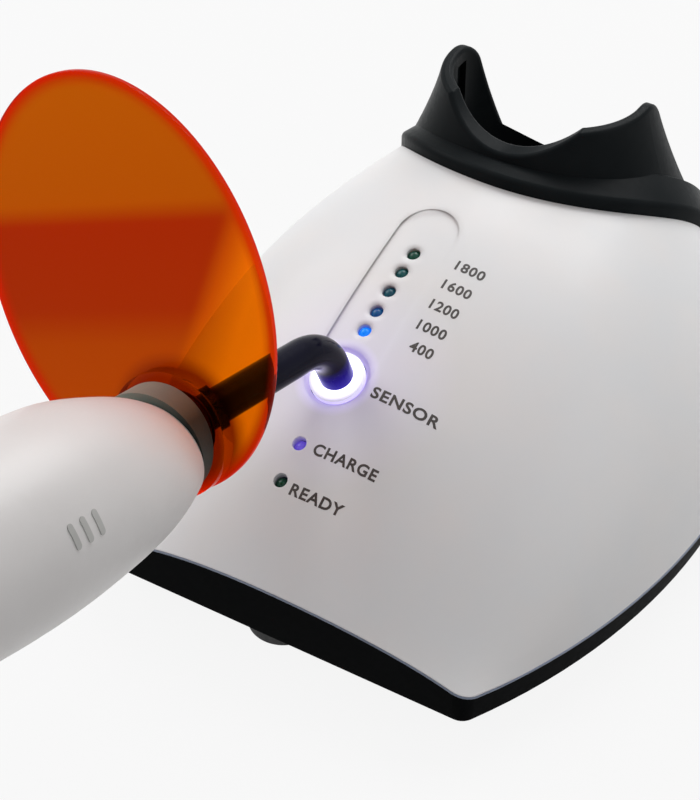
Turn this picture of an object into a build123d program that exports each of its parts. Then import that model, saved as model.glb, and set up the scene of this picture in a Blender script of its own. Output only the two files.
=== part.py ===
from build123d import *
import math
import os

# A dental curing light held over the light meter of its charging base.
# Millimetres, +Z up, X along the lettering, Y from the front edge to the
# cradle. The origin is under the middle of the front foot.

os.makedirs("parts", exist_ok=True)

# Outline of the charging base
base_mid_x = 6.0
front_y = -10.2
back_y = 141.0
widest_y = 65.0
half_width = 63.0
side_r = 149.0
rear_r = 85.0
front_corner_r = 5.0
back_corner_r = 14.0
shell_bottom = 4.0
edge_z = 12.3
section_z = 4.3
least_half = 34.0
draft = 10.0
draft_top = 22.0
skirt = 15.0

# Crown line of the top of the base
crown_y = 115.9
crown_z = -139.8
crown_r = 205.1
back_round_r = 60.0

# Walls and gaps of the base
wall = 2.4
floor_t = 2.4
skin = 2.2
lip = 0.5
panel_gap = 0.12
seat_gap = 0.15
split_z = 13.4

# Light meter, scale lamps and status lamps on the top
led_x = -4.2
sensor_y = 28.3
led_ys = (39.3, 44.2, 49.4, 54.6, 59.7)
charge_y = 13.6
ready_y = 6.2
led_r = 1.45
led_hole_r = 1.55
led_recess = 0.7
led_flange_r = 2.3
channel_w = 14.0
channel_depth = 0.5
window_r = 6.0
recess_r = 7.1
recess_depth = 1.2
window_t = 1.6
holder_wall = 1.2
board_drop = 9.5
board_t = 1.6
board_w = 24.0

# Cradle behind the light meter
cup_a = 22.0
cup_b = 18.5
cup_y = 112.6
cup_floor = 28.0
cup_wall = 2.4
trough_r = 22.0
trough_low = 67.6
ear_top = 74.0
ear_round_r = 8.0
ear_round_turn = 74.0
ear_back_l = 40.0
ear_rim_r = 1.0
hood_raise = 2.6
hood_x = 1.0
hood_front_y = 83.5
hood_a = 38.5
hood_b = 40.0
hood_lip_r = 1.5
ledge_t = 1.6
ledge_reach = 4.0
ear_slot_w = 4.0
ear_slot_depth = 1.4
ear_slot_low = 48.0
ear_slot_high = 70.5
cradle_sections = ((38.0, 38.0, 35.5), (46.0, 34.8, 32.3), (52.0, 32.0, 29.5), (58.0, 29.5, 27.0),
                   (64.0, 27.3, 24.8), (70.0, 25.5, 23.0), (78.0, 23.9, 21.4))

# Feet, ballast and fixings of the base
foot_r = 8.0
foot_h = 4.0
foot_seat = 1.0
foot_side_x = half_width - 21.0
foot_side_y = 42.0
foot_rear_x = 24.0
foot_rear_y = back_y - 19.0
foot_spots = ((0.0, 0.0), (base_mid_x - foot_side_x, foot_side_y), (base_mid_x + foot_side_x, foot_side_y),
              (base_mid_x - foot_rear_x, foot_rear_y), (base_mid_x + foot_rear_x, foot_rear_y))
ballast_t = 10.0
ballast_w = 90.0
ballast_l = 60.0
ballast_y = 62.0
front_posts = ((-24.0, 14.0), (38.0, 14.0))
rear_posts = ((-30.0, 108.0), (32.0, 108.0))
post_r = 3.6
boss_r = 5.0
boss_h = 3.0
screw_r = 1.5
screw_head_r = 2.8
screw_head_h = 1.8
screw_pocket = 2.0
screw_l = 8.0
inlet_x = 6.0
inlet_z = 19.3
inlet_w = 9.0
inlet_h = 7.0
inlet_l = 12.0
inlet_bore_r = 2.75
inlet_bore_l = 9.5
inlet_pin_r = 1.0
inlet_skin = 2.6

# Handpiece: the collar plane sits at hand_y, hand_z and the axis falls
# toward the light meter. Roll turns the buttons away from the front right.
hand_y = -31.9
hand_z = 73.9
hand_fall = 16.2
hand_roll = 32.0
collar_r = 10.8
spigot_r = 7.0
guide_bore_r = 4.7
running = 0.05
shield_at = 4.85
shield_t = 1.8
shield_a = 29.8
shield_b = 40.1
shield_off = 28.0
hub_r = 12.2
guide_r = 3.65
core_r = 2.9
ferrule_front = 6.3
mouth_at = 4.8
collar_front = 0.6
spigot_end = 6.6
bead = 0.3
bore_from = 21.0
bar_seat = 0.6
window_sunk = 0.3
guide_bend_r = 20.0
tip_gap = 0.35
ferrule_back = 13.0
bore_r = 12.8
nose_bore_r = 7.5
barrel_end = 168.0
tail_end = 186.0

# Outer sections of the barrel: distance behind the collar, radius, and
# how far the middle of the section hangs below the axis.
barrel_sections = ((1.0, 9.0, 2.5), (6.6, 11.15, 2.15), (12.7, 13.4, 1.4), (19.3, 15.05, 0.85),
                   (26.3, 16.35, 0.25), (33.9, 17.15, 0.0), (50.0, 17.6, 0.0), (68.0, 16.9, 0.0),
                   (95.0, 15.8, 0.0), (130.0, 15.4, 0.0), (168.0, 15.3, 0.0))

# Handpiece inside and controls
emitter_at = 22.4
emitter_t = 1.6
sink_l = 30.0
battery_r = 9.2
battery_l = 65.0
sleeve_front = 98.0
main_board_y = 7.4
main_board_t = 1.2
power_at = 64.0
power_r = 5.4
mode_at = 80.0
mode_r = 3.6
lamp_at = 91.0
lamp_r = 1.5
button_gap = 0.1
button_ceiling = 14.0
button_flange = 1.4
button_flange_t = 1.5
button_proud = 0.7
button_travel = 0.5
bar_side = 187.0
bar_first = 43.8
bar_pitch = 3.25
bar_lean = 14.0
bar_w = 1.3
bar_l = 4.9
bar_proud = 0.15

# Charging contacts
contact_r = 2.4
contact_x = 5.0
contact_t = 1.2
pin_r = 1.1
pin_travel = 1.5
pin_proud = 2.0
block_h = 6.0


def crest(y):
    """Height of the crown line of the top at the distance y."""
    return crown_z + math.sqrt(crown_r**2 - (y - crown_y)**2)


def outline_half(y):
    """Half width of the base at the distance y, at the edge of the top."""
    arc_r = side_r if y < widest_y else rear_r
    return half_width - arc_r + math.sqrt(max(arc_r**2 - (y - widest_y)**2, 0.0))


def section(y, drop):
    """Height above the section centre, and the reach to the left and the right."""
    height = crest(y) - section_z
    low = (edge_z - section_z) / height
    spread = 1.0 / math.sqrt(1.0 - low**2)
    half = max(outline_half(y), least_half)
    left = (half - base_mid_x) * spread
    right = (half + base_mid_x) * spread
    return height - drop, left - drop, right - drop


def top_z(x, y):
    """Height of the top surface at the place x, y."""
    height, left, right = section(y, 0.0)
    reach = left if x < 0 else right
    return section_z + height * math.sqrt(1.0 - (x / reach)**2)


def dome(drop):
    """Solid under the top surface, set in by drop."""
    first = front_y - 5.0
    steps = 11
    pitch = (back_y + 6.0 - first) / (steps - 1)
    with BuildPart() as solid:
        for step in range(steps):
            y = first + step * pitch
            height, left, right = section(y, drop)
            with BuildSketch(Plane.XZ.offset(-y)):
                with BuildLine():
                    EllipticalCenterArc((0, section_z), right, height, start_angle=0, arc_size=90)
                    EllipticalCenterArc((0, section_z), left, height, start_angle=90, arc_size=90)
                    Polyline((-left, section_z), (-left, -skirt), (right, -skirt), (right, section_z))
                make_face()
        loft()
    return solid.part


def outline_face(y_low, y_high, arc_r):
    """Part of the outline between two lines, bounded by two arcs."""
    with BuildSketch() as face:
        with Locations((base_mid_x, (y_low + y_high) / 2)):
            Rectangle(2 * half_width, y_high - y_low)
        with Locations((base_mid_x + half_width - arc_r, widest_y)):
            Circle(arc_r, mode=Mode.INTERSECT)
        with Locations((base_mid_x - half_width + arc_r, widest_y)):
            Circle(arc_r, mode=Mode.INTERSECT)
    return face.sketch


front_half = outline_face(front_y, widest_y, side_r)
rear_half = outline_face(widest_y, back_y, rear_r)
with BuildSketch() as outline:
    add(front_half)
    add(rear_half)
    fillet(outline.vertices().group_by(Axis.Y)[0], front_corner_r)
    fillet(outline.vertices().group_by(Axis.Y)[-1], back_corner_r)


def prism(inset, bottom):
    """Solid inside the outline, set in by inset, above the height bottom."""
    lean = (edge_z - bottom) * math.tan(math.radians(draft))
    with BuildPart() as solid:
        with BuildSketch(Plane.XY.offset(bottom)):
            add(outline.sketch)
            offset(amount=-(inset + lean))
        extrude(amount=draft_top - bottom, taper=-draft)
        extrude(solid.faces().sort_by(Axis.Z)[-1], amount=60.0)
    return solid.part


def lamp_plane(y, depth):
    """Plane square to the lamp board under the top surface at y."""
    spot = Vector(led_x, y, top_z(led_x, y))
    return Plane(origin=spot - board_normal * depth, x_dir=(1, 0, 0), z_dir=board_normal)


# The lamp board lies along the line from the ready lamp to the last scale lamp
board_rise = top_z(led_x, led_ys[-1]) - top_z(led_x, ready_y)
board_run = led_ys[-1] - ready_y
board_tilt = math.degrees(math.atan2(board_rise, board_run))
board_normal = Vector(0, -math.sin(math.radians(board_tilt)), math.cos(math.radians(board_tilt)))
board_mid = Vector(led_x, (led_ys[-1] + ready_y) / 2,
                   (top_z(led_x, led_ys[-1]) + top_z(led_x, ready_y)) / 2)
board_plane = Plane(origin=board_mid - board_normal * board_drop, x_dir=(1, 0, 0), z_dir=board_normal)
board_len = math.hypot(board_rise, board_run) + 8.0

sensor_spot = Vector(led_x, sensor_y, top_z(led_x, sensor_y))
sensor_plane = Plane(origin=sensor_spot, x_dir=(1, 0, 0), z_dir=board_normal)

dome_top = dome(0.0)
dome_lip = dome(lip)
dome_tray = dome(lip + panel_gap)
dome_channel = dome(channel_depth)
dome_skin = dome(skin)
dome_hood = dome(-hood_raise)
prism_out = prism(0.0, shell_bottom)
prism_in = prism(wall + seat_gap, shell_bottom)
prism_cavity = prism(wall, shell_bottom + floor_t)

# Area of the cradle housing behind the white top, seen from above
hood_mid_y = hood_front_y + hood_b


def hood_area(gap, height):
    """Block behind the front line of the cradle housing, set back by gap."""
    with BuildPart() as block:
        with BuildSketch():
            with Locations((hood_x, hood_mid_y)):
                Ellipse(hood_a - gap, hood_b - gap)
            with Locations((hood_x, (hood_mid_y + back_y + 20.0) / 2)):
                Rectangle(2 * (hood_a - gap), back_y + 20.0 - hood_mid_y)
        extrude(amount=height)
    return block.part


def on_hood_front(edge):
    """Whether an edge is the upper front edge of the cradle housing."""
    spot = edge @ 0.5
    across = (spot.X - hood_x) / (hood_a - panel_gap)
    along = (spot.Y - hood_mid_y) / (hood_b - panel_gap)
    on_wall = abs(math.hypot(across, along) - 1.0) < 0.002
    return on_wall and spot.Y < hood_mid_y and spot.Z > top_z(spot.X, spot.Y) + hood_raise / 2


def on_ear_rim(edge):
    """Whether an edge is on the rim of the cradle, in front of the sloping ends of the ears."""
    spot = edge @ 0.5
    slope_end = edge.geom_type == GeomType.LINE and spot.Y > cup_y + 1.0
    return spot.Z > trough_low - 0.3 and not slope_end


tower_top = 100.0
hood_block = hood_area(0.0, tower_top)
hood_block_in = hood_area(panel_gap, tower_top)
ledge_block = hood_area(-ledge_reach, tower_top)

# Rounding of the upper rear corner, seen from the side
with BuildPart() as back_cut:
    with BuildSketch(Plane.YZ.offset(base_mid_x)):
        with BuildLine():
            top_rear = crest(back_y) + hood_raise
            back_round_in = back_round_r * (1.0 - math.sqrt(0.5))
            rear_wall = back_y + (draft_top - edge_z) * math.tan(math.radians(draft))
            Polyline((rear_wall - back_round_r, top_rear), (rear_wall - back_round_r, tower_top),
                     (back_y + 20.0, tower_top), (back_y + 20.0, top_rear - back_round_r),
                     (rear_wall, top_rear - back_round_r))
            ThreePointArc((rear_wall, top_rear - back_round_r),
                          (rear_wall - back_round_in, top_rear - back_round_in),
                          (rear_wall - back_round_r, top_rear))
        make_face()
    extrude(amount=half_width + 20.0, both=True)

# The two ears end at the back in a rounded top and a sloping edge
ear_turn = math.radians(ear_round_turn)
ear_end = (cup_y + ear_round_r * math.sin(ear_turn), ear_top - ear_round_r * (1.0 - math.cos(ear_turn)))
ear_between = (cup_y + ear_round_r * math.sin(ear_turn / 2),
               ear_top - ear_round_r * (1.0 - math.cos(ear_turn / 2)))
ear_foot = (ear_end[0] + ear_back_l * math.cos(ear_turn), ear_end[1] - ear_back_l * math.sin(ear_turn))
with BuildPart() as ear_cut:
    with BuildSketch(Plane.YZ.offset(base_mid_x)):
        with BuildLine():
            ThreePointArc((cup_y, ear_top), ear_between, ear_end)
            Polyline(ear_end, ear_foot, (back_y + 20.0, ear_foot[1]), (back_y + 20.0, tower_top),
                     (cup_y, tower_top), (cup_y, ear_top))
        make_face()
    extrude(amount=half_width + 20.0, both=True)
    add(back_cut.part, mode=Mode.INTERSECT)

# Lower tray of the base
tray_floor = shell_bottom + floor_t
with BuildPart() as base_bottom_shell:
    add(prism_out)
    add(dome_tray, mode=Mode.INTERSECT)
    with BuildSketch(Plane.XY.offset(split_z)):
        with Locations((base_mid_x, widest_y + 50.0)):
            Rectangle(4 * half_width, 2 * widest_y)
    extrude(amount=tower_top, mode=Mode.SUBTRACT)
    add(prism_cavity, mode=Mode.SUBTRACT)
    with BuildSketch(Plane.XY.offset(tray_floor)):
        with Locations(*front_posts, *rear_posts):
            Circle(boss_r)
    extrude(amount=boss_h)
    with BuildSketch(Plane.XY.offset(shell_bottom)):
        with Locations(*foot_spots):
            Circle(foot_r)
    extrude(amount=foot_seat, mode=Mode.SUBTRACT)
    with BuildSketch(Plane.XY.offset(shell_bottom)):
        with Locations(*front_posts, *rear_posts):
            Circle(screw_head_r + 0.2)
    extrude(amount=screw_pocket, mode=Mode.SUBTRACT)
    with BuildSketch(Plane.XY.offset(shell_bottom)):
        with Locations(*front_posts, *rear_posts):
            Circle(screw_r + 0.1)
    extrude(amount=floor_t + boss_h, mode=Mode.SUBTRACT)
base_bottom_shell.part.label = "base_bottom_shell"
export_step(base_bottom_shell.part, "parts/base_bottom_shell.step")

# White top shell with the lamp holes, the groove and the light meter seat
post_foot = tray_floor + boss_h
channel_low = sensor_y - 4.0
channel_high = led_ys[-1] + 11.3
channel_mid = (channel_low + channel_high) / 2
channel_plane = Plane(origin=(led_x, channel_mid, top_z(led_x, channel_mid)), x_dir=(1, 0, 0),
                      z_dir=board_normal)
with BuildPart() as channel_tool:
    with BuildSketch(channel_plane.offset(-4.0)):
        SlotOverall((channel_high - channel_low) / board_normal.Z, channel_w, rotation=90.0)
    extrude(amount=12.0)
    add(dome_channel, mode=Mode.SUBTRACT)

with BuildPart() as top_posts:
    with BuildSketch(Plane.XY.offset(post_foot)):
        with Locations(*front_posts):
            Circle(post_r)
    extrude(amount=50.0)
    with BuildSketch(board_plane):
        with GridLocations(board_w - 6.0, board_len - 6.0, 2, 2):
            Circle(2.0)
    extrude(amount=20.0)
    add(dome_lip, mode=Mode.INTERSECT)
    with BuildSketch(Plane.XY.offset(post_foot)):
        with Locations(*front_posts):
            Circle(screw_r)
    extrude(amount=screw_l, mode=Mode.SUBTRACT)

with BuildPart() as top_inner:
    add(dome_top)
    add(prism_in, mode=Mode.INTERSECT)
    add(dome_skin, mode=Mode.SUBTRACT)

with BuildPart() as base_top_shell:
    add(prism_out)
    add(dome_top, mode=Mode.INTERSECT)
    add(dome_lip, mode=Mode.SUBTRACT)
    add(top_inner.part)
    add(hood_block, mode=Mode.SUBTRACT)
    add(top_posts.part)
    add(channel_tool.part, mode=Mode.SUBTRACT)
    with BuildSketch(sensor_plane.offset(-recess_depth)):
        Circle(recess_r)
    extrude(amount=8.0, mode=Mode.SUBTRACT)
    with BuildSketch(sensor_plane.offset(-6.0)):
        Circle(window_r + seat_gap)
    extrude(amount=12.0, mode=Mode.SUBTRACT)
    for lamp_y in (*led_ys, charge_y, ready_y):
        with BuildSketch(lamp_plane(lamp_y, 5.0)):
            Circle(led_hole_r)
        extrude(amount=9.0, mode=Mode.SUBTRACT)
base_top_shell.part.label = "base_top_shell"
export_step(base_top_shell.part, "parts/base_top_shell.step")

# Cradle housing that closes the back of the base
dome_deep = dome(skin + ledge_t)
with BuildPart() as rear_cavity:
    add(prism_cavity)
    add(dome_deep, mode=Mode.INTERSECT)
    add(back_cut.part.moved(Location((0, -wall, -(hood_raise + skin + ledge_t)))), mode=Mode.SUBTRACT)

with BuildPart() as ledge:
    add(dome_skin)
    add(prism_in, mode=Mode.INTERSECT)
    add(ledge_block, mode=Mode.INTERSECT)
    add(dome_deep, mode=Mode.SUBTRACT)

with BuildPart() as tower:
    for level, half_a, half_b in cradle_sections:
        with BuildSketch(Plane.XY.offset(level)):
            with Locations((0, cup_y)):
                Ellipse(half_a, half_b)
    loft()
    add(hood_block_in, mode=Mode.INTERSECT)
    add(prism_out, mode=Mode.INTERSECT)

with BuildPart() as hood_body:
    add(dome_hood)
    add(prism_out, mode=Mode.INTERSECT)
    add(hood_block_in, mode=Mode.INTERSECT)
    add(back_cut.part, mode=Mode.SUBTRACT)
    fillet([edge for edge in hood_body.edges() if on_hood_front(edge)], hood_lip_r)

with BuildPart() as rear_posts_solid:
    with BuildSketch(Plane.XY.offset(post_foot)):
        with Locations(*rear_posts):
            Circle(post_r)
    extrude(amount=60.0)
    with BuildSketch(Plane.XZ.offset(-(rear_wall - inlet_skin - inlet_l))):
        with Locations((inlet_x, inlet_z)):
            Rectangle(inlet_w + 2 * wall, inlet_h + 2 * wall)
    extrude(amount=-(inlet_l + 6.0))
    add(dome_top, mode=Mode.INTERSECT)
    add(prism(wall / 2, shell_bottom), mode=Mode.INTERSECT)
    add(back_cut.part, mode=Mode.SUBTRACT)
    with BuildSketch(Plane.XY.offset(post_foot)):
        with Locations(*rear_posts):
            Circle(screw_r)
    extrude(amount=screw_l, mode=Mode.SUBTRACT)

with BuildPart() as rear_housing:
    add(hood_body.part)
    add(ledge.part)
    add(tower.part)
    add(rear_cavity.part, mode=Mode.SUBTRACT)
    with BuildSketch(Plane.XY.offset(cup_floor - cup_wall)):
        with Locations((0, cup_y)):
            Ellipse(cup_a + cup_wall, cup_b + cup_wall)
    extrude(amount=trough_low - cup_floor)
    add(ear_cut.part, mode=Mode.SUBTRACT)
    with BuildSketch(Plane.XY.offset(-1.0)):
        with Locations((base_mid_x, widest_y)):
            Rectangle(4 * half_width, 4 * half_width)
    extrude(amount=split_z + panel_gap + 1.0, mode=Mode.SUBTRACT)
    add(rear_posts_solid.part)
    with BuildSketch(Plane.XY.offset(cup_floor)):
        with Locations((0, cup_y)):
            Ellipse(cup_a, cup_b)
    extrude(amount=tower_top, mode=Mode.SUBTRACT)
    with BuildSketch(Plane.XY.offset(ear_top)):
        with Locations((0, cup_y)):
            Rectangle(4 * cup_a, 4 * cup_a)
    extrude(amount=tower_top, mode=Mode.SUBTRACT)
    with BuildSketch(Plane.XZ.offset(-cup_y)):
        with Locations((0, trough_low + trough_r)):
            Circle(trough_r)
    extrude(amount=3 * cup_b, both=True, mode=Mode.SUBTRACT)
    fillet([edge for edge in rear_housing.edges() if on_ear_rim(edge)], ear_rim_r)
    with BuildSketch(Plane.XY.offset(ear_slot_low)):
        with Locations((0, cup_y)):
            Rectangle(2 * (cup_a + ear_slot_depth), ear_slot_w)
    extrude(amount=ear_slot_high - ear_slot_low, mode=Mode.SUBTRACT)
    with BuildSketch(Plane.XZ.offset(-(rear_wall - inlet_skin))):
        with Locations((inlet_x, inlet_z)):
            Rectangle(inlet_w, inlet_h)
    extrude(amount=inlet_l + 1.0, mode=Mode.SUBTRACT)
    with BuildSketch(Plane.XZ.offset(-(rear_wall - inlet_l))):
        with Locations((inlet_x, inlet_z)):
            Circle(inlet_bore_r + 0.3)
    extrude(amount=-(inlet_l + 10.0), mode=Mode.SUBTRACT)
rear_housing.part.label = "rear_housing"
export_step(rear_housing.part, "parts/rear_housing.step")


def lamp(y):
    """Lamp on its seat between the board and the hole in the top."""
    depth = (lamp_plane(y, 0.0).origin - board_plane.origin).dot(board_normal)
    with BuildPart() as piece:
        with BuildSketch(lamp_plane(y, depth)):
            Circle(led_flange_r)
        extrude(amount=depth - skin - 1.6)
        with BuildSketch(lamp_plane(y, depth)):
            Circle(led_r)
        extrude(amount=depth - led_recess - led_r)
        with Locations(lamp_plane(y, led_recess + led_r)):
            Sphere(led_r)
    return piece.part


for number, lamp_y in enumerate(led_ys, start=1):
    scale_led = lamp(lamp_y)
    scale_led.label = f"scale_led_{number}"
    export_step(scale_led, f"parts/scale_led_{number}.step")

charge_led = lamp(charge_y)
charge_led.label = "charge_led"
export_step(charge_led, "parts/charge_led.step")

ready_led = lamp(ready_y)
ready_led.label = "ready_led"
export_step(ready_led, "parts/ready_led.step")

# Lamp board, light sensor, its holder and its window
with BuildPart() as lamp_board:
    with BuildSketch(board_plane):
        Rectangle(board_w, board_len)
    extrude(amount=-board_t)
lamp_board.part.label = "lamp_board"
export_step(lamp_board.part, "parts/lamp_board.step")

sensor_depth = (sensor_spot - board_plane.origin).dot(board_normal)
with BuildPart() as sensor_holder:
    with BuildSketch(sensor_plane.offset(-sensor_depth)):
        Circle(window_r)
        Circle(window_r - holder_wall, mode=Mode.SUBTRACT)
    extrude(amount=sensor_depth - window_t - window_sunk)
sensor_holder.part.label = "sensor_holder"
export_step(sensor_holder.part, "parts/sensor_holder.step")

with BuildPart() as sensor_window:
    with BuildSketch(sensor_plane.offset(-(window_t + window_sunk))):
        Circle(window_r)
    extrude(amount=window_t)
    fillet(sensor_window.faces().sort_by(Axis(sensor_spot, board_normal))[-1].edges(), 0.3)
sensor_window.part.label = "sensor_window"
export_step(sensor_window.part, "parts/sensor_window.step")

with BuildPart() as light_sensor:
    with BuildSketch(sensor_plane.offset(-sensor_depth)):
        Rectangle(5.0, 4.0)
    extrude(amount=1.8)
light_sensor.part.label = "light_sensor"
export_step(light_sensor.part, "parts/light_sensor.step")

# Feet, ballast plate and screws
foot_names = ("foot_front", "foot_left", "foot_right", "foot_rear_left", "foot_rear_right")
for name, spot in zip(foot_names, foot_spots):
    with BuildPart() as foot:
        with BuildSketch(Plane.XY.offset(foot_h + foot_seat)):
            with Locations(spot):
                Circle(foot_r)
        extrude(amount=-(foot_h + foot_seat), taper=4.0)
        fillet(foot.edges().group_by(Axis.Z)[0], 0.6)
    foot.part.label = name
    export_step(foot.part, f"parts/{name}.step")

with BuildPart() as ballast_plate:
    with BuildSketch(Plane.XY.offset(tray_floor)):
        with Locations((base_mid_x, ballast_y)):
            RectangleRounded(ballast_w, ballast_l, 6.0)
    extrude(amount=ballast_t)
    chamfer(ballast_plate.edges().group_by(Axis.Z)[-1], 0.8)
ballast_plate.part.label = "ballast_plate"
export_step(ballast_plate.part, "parts/ballast_plate.step")

for number, spot in enumerate((*front_posts, *rear_posts), start=1):
    with BuildPart() as base_screw:
        with BuildSketch(Plane.XY.offset(shell_bottom + screw_pocket)):
            with Locations(spot):
                Circle(screw_head_r)
        extrude(amount=-screw_head_h)
        with BuildSketch(Plane.XY.offset(shell_bottom + screw_pocket - screw_head_h)):
            with Locations(spot):
                RegularPolygon(1.2, 6)
        extrude(amount=1.0, mode=Mode.SUBTRACT)
        with BuildSketch(Plane.XY.offset(shell_bottom + screw_pocket)):
            with Locations(spot):
                Circle(screw_r)
        extrude(amount=screw_l)
    base_screw.part.label = f"base_screw_{number}"
    export_step(base_screw.part, f"parts/base_screw_{number}.step")

# Supply socket in the back wall
inlet_face = Plane.XZ.offset(-(rear_wall - inlet_skin))
with BuildPart() as supply_socket:
    with BuildSketch(inlet_face):
        with Locations((inlet_x, inlet_z)):
            Rectangle(inlet_w, inlet_h)
    extrude(amount=inlet_l)
    with BuildSketch(inlet_face):
        with Locations((inlet_x, inlet_z)):
            Circle(inlet_bore_r)
    extrude(amount=inlet_bore_l, mode=Mode.SUBTRACT)
supply_socket.part.label = "supply_socket"
export_step(supply_socket.part, "parts/supply_socket.step")

with BuildPart() as supply_pin:
    with BuildSketch(inlet_face.offset(inlet_bore_l)):
        with Locations((inlet_x, inlet_z)):
            Circle(inlet_pin_r)
    extrude(amount=-(inlet_bore_l - 1.5))
    fillet(supply_pin.edges().group_by(Axis.Y)[-1], 0.4)
supply_pin.part.label = "supply_pin"
export_step(supply_pin.part, "parts/supply_pin.step")

# Charging contacts in the cradle
with BuildPart() as contact_block:
    with BuildSketch(Plane.XY.offset(cup_floor)):
        with Locations((0, cup_y)):
            SlotOverall(4 * contact_x + 4.0, 12.0)
    extrude(amount=block_h)
    chamfer(contact_block.edges().group_by(Axis.Z)[-1], 0.6)
    with BuildSketch(Plane.XY.offset(cup_floor)):
        with Locations((-contact_x, cup_y), (contact_x, cup_y)):
            Circle(pin_r + running)
    extrude(amount=block_h, mode=Mode.SUBTRACT)
contact_block.part.label = "contact_block"
export_step(contact_block.part, "parts/contact_block.step")

for name, side in (("contact_pin_left", -1), ("contact_pin_right", 1)):
    with BuildPart() as contact_pin:
        with BuildSketch(Plane.XY.offset(cup_floor + pin_travel + 0.3)):
            with Locations((side * contact_x, cup_y)):
                Circle(pin_r)
        extrude(amount=block_h + pin_proud - pin_travel - 0.3)
        fillet(contact_pin.edges().group_by(Axis.Z)[-1], 0.6)
    contact_pin.part.label = name
    export_step(contact_pin.part, f"parts/{name}.step")

# Handpiece frame: z along the axis to the tip, y toward the buttons
fall = math.radians(hand_fall)
roll = math.radians(hand_roll)
hand_spot = Vector(led_x, hand_y, hand_z)
hand_ahead = Vector(0, math.cos(fall), -math.sin(fall))
hand_up = Vector(0, math.sin(fall), math.cos(fall))
hand_top = hand_up * math.cos(roll) - Vector(1, 0, 0) * math.sin(roll)
hand = Plane(origin=hand_spot, x_dir=hand_top.cross(hand_ahead), z_dir=hand_ahead)
hand_side = Plane(origin=hand_spot, x_dir=hand_top, z_dir=hand_top.cross(hand_ahead))
hand_axis = Axis(hand_spot, hand_ahead)
mouth_lean = math.radians(11.3)
mouth = Plane(origin=hand_spot - hand_ahead * mouth_at, x_dir=hand.x_dir,
              z_dir=hand_ahead + hand_top * math.tan(mouth_lean))


def barrel_radius(behind):
    """Radius of the barrel on the button side at a distance behind the collar."""
    for near, far in zip(barrel_sections, barrel_sections[1:]):
        if near[0] <= behind <= far[0]:
            part_way = (behind - near[0]) / (far[0] - near[0])
            return near[1] - near[2] + part_way * (far[1] - far[2] - near[1] + near[2])
    return barrel_sections[-1][1]


def turned(points):
    """Solid turned about the handpiece axis from radius and distance pairs."""
    with BuildPart() as piece:
        with BuildSketch(hand_side):
            with BuildLine():
                Polyline(*points, close=True)
            make_face()
        revolve(axis=hand_axis)
    return piece.part


def barrel_form(extra):
    """Outer form of the barrel, swollen by extra."""
    with BuildPart() as piece:
        for behind, section_r, hang in barrel_sections:
            with BuildSketch(hand.offset(-behind)):
                with Locations((0, -hang)):
                    Circle(section_r + extra)
        loft()
    return piece.part


barrel_outer = barrel_form(0.0)
barrel_bars = barrel_form(bar_proud)
barrel_bar_seat = barrel_form(-bar_seat)
with BuildPart() as bar_tool:
    with BuildSketch(Plane(origin=hand_spot, x_dir=hand_ahead,
                           z_dir=hand.x_dir * math.cos(math.radians(bar_side))
                           + hand_top * math.sin(math.radians(bar_side)))):
        for number in range(3):
            with Locations((-(bar_first + number * bar_pitch), 0)):
                RectangleRounded(bar_w, bar_l, bar_w / 2 - 0.02, rotation=bar_lean)
    extrude(amount=40.0)
    add(barrel_bar_seat, mode=Mode.SUBTRACT)

with BuildPart() as barrel_bore:
    add(turned(((0, 5.0), (nose_bore_r, 5.0), (nose_bore_r, -ferrule_back), (bore_r, -bore_from),
                (bore_r, -(barrel_end + 5.0)), (0, -(barrel_end + 5.0)))))

button_spots = ((power_at, power_r), (mode_at, mode_r))
lamp_hole = Plane(origin=hand_spot - hand_ahead * lamp_at, x_dir=hand.x_dir, z_dir=hand_top)
with BuildPart() as barrel:
    add(barrel_outer)
    with BuildSketch(mouth):
        Circle(4 * collar_r)
    extrude(amount=40.0, mode=Mode.SUBTRACT)
    add(barrel_bore.part, mode=Mode.SUBTRACT)
    add(bar_tool.part, mode=Mode.SUBTRACT)
    for behind, button_r in button_spots:
        button_plane = Plane(origin=hand_spot - hand_ahead * behind, x_dir=hand.x_dir, z_dir=hand_top)
        with BuildSketch(button_plane):
            Circle(button_r + button_flange + 0.15)
        extrude(amount=button_ceiling, mode=Mode.SUBTRACT)
        with BuildSketch(button_plane):
            Circle(button_r + 0.08)
        extrude(amount=30.0, mode=Mode.SUBTRACT)
    with BuildSketch(lamp_hole):
        Circle(lamp_r)
    extrude(amount=30.0, mode=Mode.SUBTRACT)
barrel.part.label = "barrel"
export_step(barrel.part, "parts/barrel.step")

for number in range(3):
    with BuildPart() as mark_bar:
        add(barrel_bars)
        with BuildSketch(Plane(origin=hand_spot, x_dir=hand_ahead,
                               z_dir=hand.x_dir * math.cos(math.radians(bar_side))
                               + hand_top * math.sin(math.radians(bar_side)))):
            with Locations((-(bar_first + number * bar_pitch), 0)):
                RectangleRounded(bar_w, bar_l, bar_w / 2 - 0.02, rotation=bar_lean)
        extrude(amount=40.0, mode=Mode.INTERSECT)
        add(barrel_bar_seat, mode=Mode.SUBTRACT)
    mark_bar.part.label = f"mark_bar_{number + 1}"
    export_step(mark_bar.part, f"parts/mark_bar_{number + 1}.step")

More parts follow.
